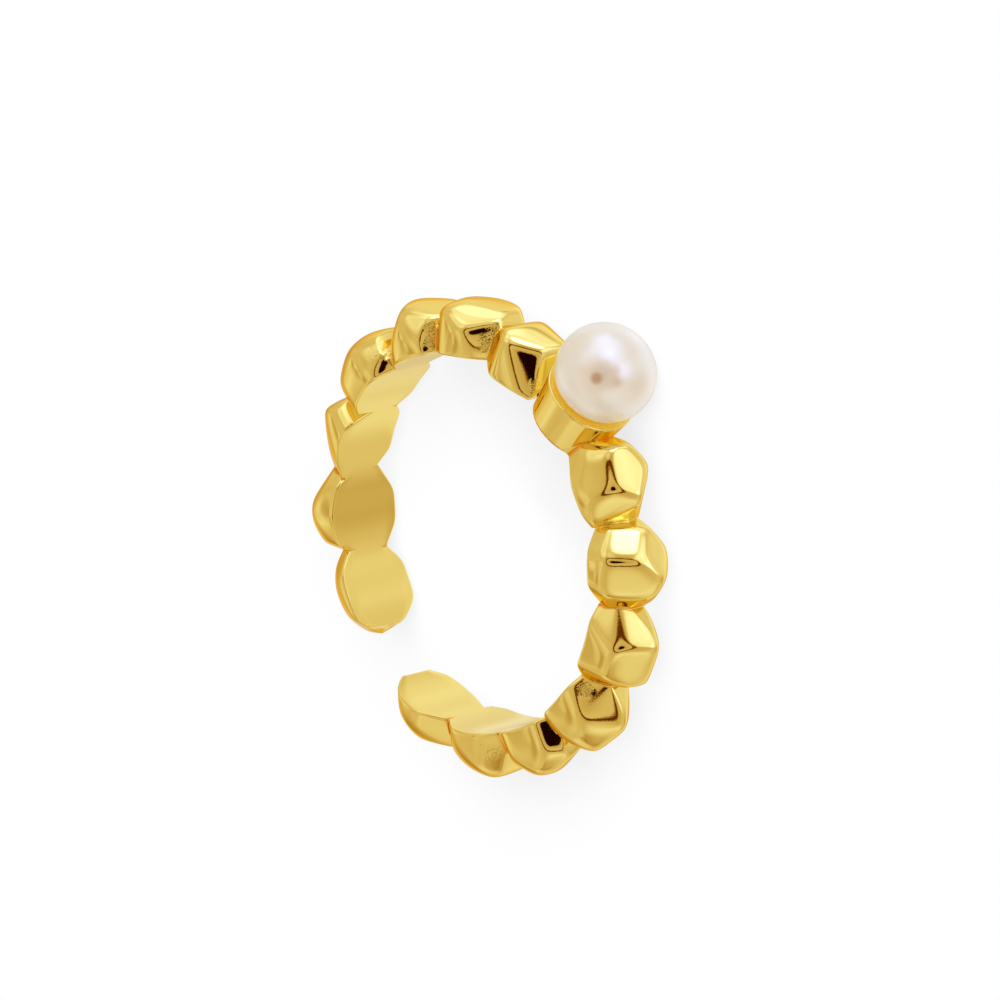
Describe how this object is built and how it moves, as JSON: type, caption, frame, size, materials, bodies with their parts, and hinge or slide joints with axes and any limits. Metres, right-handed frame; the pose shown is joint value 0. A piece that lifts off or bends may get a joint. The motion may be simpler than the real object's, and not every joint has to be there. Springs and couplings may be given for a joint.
{
  "type": "pearl ring",
  "caption": "Open finger ring with a gold-coloured band cast as a row of faceted nuggets and a round pearl set in a small cup.",
  "frame": {"origin": "centre of the finger hole, on the ring's axis and in the middle plane of the band", "axes": "+Z along the finger, towards the near face of the picture; +X from the finger's axis through the pearl; the opening in the band is at -X. The ring lies on its -Z side."},
  "size_m": [0.0246, 0.0226, 0.0044],
  "materials": {
    "gold": "polished",
    "pearl": "satin"
  },
  "bodies": {
    "root": {"band": "gold", "pearl": "pearl"}
  },
  "joints": []
}
